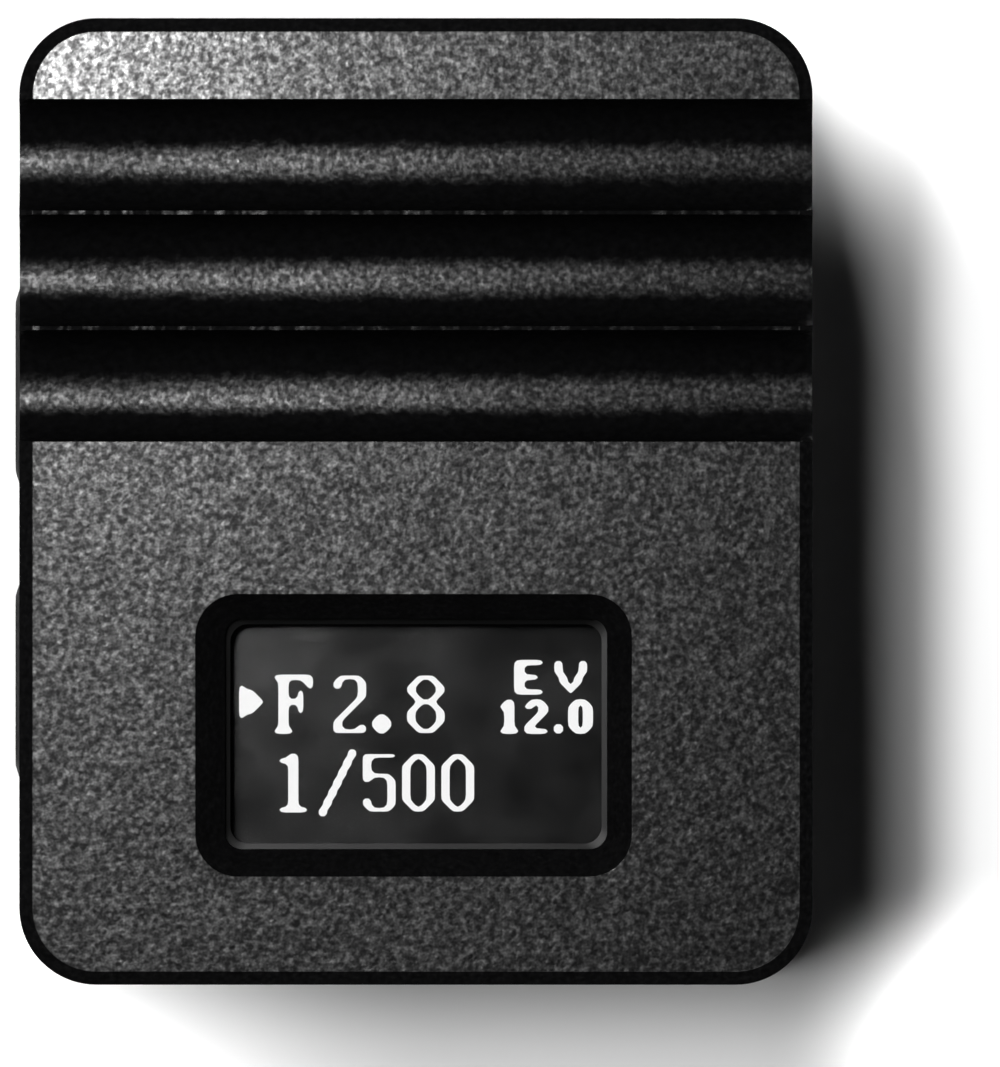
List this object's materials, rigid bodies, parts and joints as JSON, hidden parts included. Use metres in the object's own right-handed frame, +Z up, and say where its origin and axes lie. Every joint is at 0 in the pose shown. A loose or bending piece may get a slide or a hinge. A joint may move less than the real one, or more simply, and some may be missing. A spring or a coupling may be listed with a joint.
{
  "type": "shoe mount light meter",
  "caption": "Small black exposure meter with a fluted top, a recessed dot matrix display, side buttons, a battery drawer and an accessory shoe foot.",
  "frame": {"origin": "centre of the shoe foot's underside, on the plane that the foot rests on", "axes": "+X to the right with the display upright, +Y forwards to the subject, the way the foot slides into a shoe, +Z up"},
  "size_m": [0.0207, 0.0252, 0.0166],
  "materials": {
    "black_nylon": "black sintered nylon, bead blasted to a fine speckled grain",
    "button_nylon": "black nylon, slightly smoother than the housing",
    "foot_nylon": "black glass filled nylon, satin",
    "black_steel": "black oxide",
    "window_pane": "clear, polished",
    "display_glass": "dark display glass",
    "black_foam": "closed cell foam",
    "flex_film": "amber polyimide film",
    "circuit_board": "green solder mask over glass fibre",
    "chip_black": "moulded package",
    "ceramic_tan": "fired ceramic",
    "can_steel": "nickel plated",
    "contact_brass": "gold flashed spring brass",
    "switch_plastic": "moulded, matt",
    "lens_glass": "dark filter glass, polished",
    "seal_nylon": "natural nylon"
  },
  "bodies": {
    "case": {"housing": "black_nylon", "base_plate": "black_nylon", "shoe_foot": "foot_nylon", "base_screw_1": "black_steel", "base_screw_2": "black_steel", "base_screw_3": "black_steel", "base_screw_4": "black_steel", "foot_screw_1": "black_steel", "foot_screw_2": "black_steel", "foot_screw_3": "black_steel", "foot_screw_4": "black_steel", "display_window": "window_pane", "window_gasket": "black_foam", "display_panel": "display_glass", "display_cover_glass": "display_glass", "display_driver_chip": "chip_black", "display_flex": "flex_film", "flex_connector": "switch_plastic", "display_foam_pad": "black_foam", "main_board": "circuit_board", "board_screw_1": "black_steel", "board_screw_2": "black_steel", "microcontroller": "chip_black", "voltage_converter": "chip_black", "power_inductor": "chip_black", "clock_crystal": "can_steel", "ceramic_capacitor_1": "ceramic_tan", "ceramic_capacitor_2": "ceramic_tan", "ceramic_capacitor_3": "ceramic_tan", "chip_resistor_1": "chip_black", "chip_resistor_2": "chip_black", "reservoir_capacitor": "ceramic_tan", "up_switch_body": "switch_plastic", "up_switch_dome": "can_steel", "down_switch_body": "switch_plastic", "down_switch_dome": "can_steel", "measure_switch_body": "switch_plastic", "measure_switch_dome": "can_steel", "sensor_ring": "black_nylon", "sensor_lens": "lens_glass", "light_tube": "switch_plastic", "photodiode": "lens_glass", "sensor_board": "circuit_board", "negative_contact_leaf": "contact_brass", "positive_contact_leaf": "contact_brass", "contact_pin": "contact_brass"},
    "up_button": {"up_button": "button_nylon", "up_switch_plunger": "switch_plastic"},
    "down_button": {"down_button": "button_nylon", "down_switch_plunger": "switch_plastic"},
    "measure_button": {"measure_button": "button_nylon", "measure_switch_plunger": "switch_plastic"},
    "battery_drawer": {"battery_drawer": "black_nylon", "battery_can": "can_steel", "battery_seal": "seal_nylon", "battery_cap": "can_steel"}
  },
  "joints": [
    {"name": "up_button_press", "type": "slide", "parent": "case", "child": "up_button", "axis": [1, 0, 0], "range_m": [0, 0.00025], "stiffness_N_per_m": 2000},
    {"name": "down_button_press", "type": "slide", "parent": "case", "child": "down_button", "axis": [1, 0, 0], "range_m": [0, 0.00025], "stiffness_N_per_m": 2000},
    {"name": "measure_button_press", "type": "slide", "parent": "case", "child": "measure_button", "axis": [0, 1, 0], "range_m": [0, 0.00025], "stiffness_N_per_m": 2000},
    {"name": "battery_drawer_slide", "type": "slide", "parent": "case", "child": "battery_drawer", "axis": [1, 0, 0], "range_m": [0, 0.0132]}
  ]
}
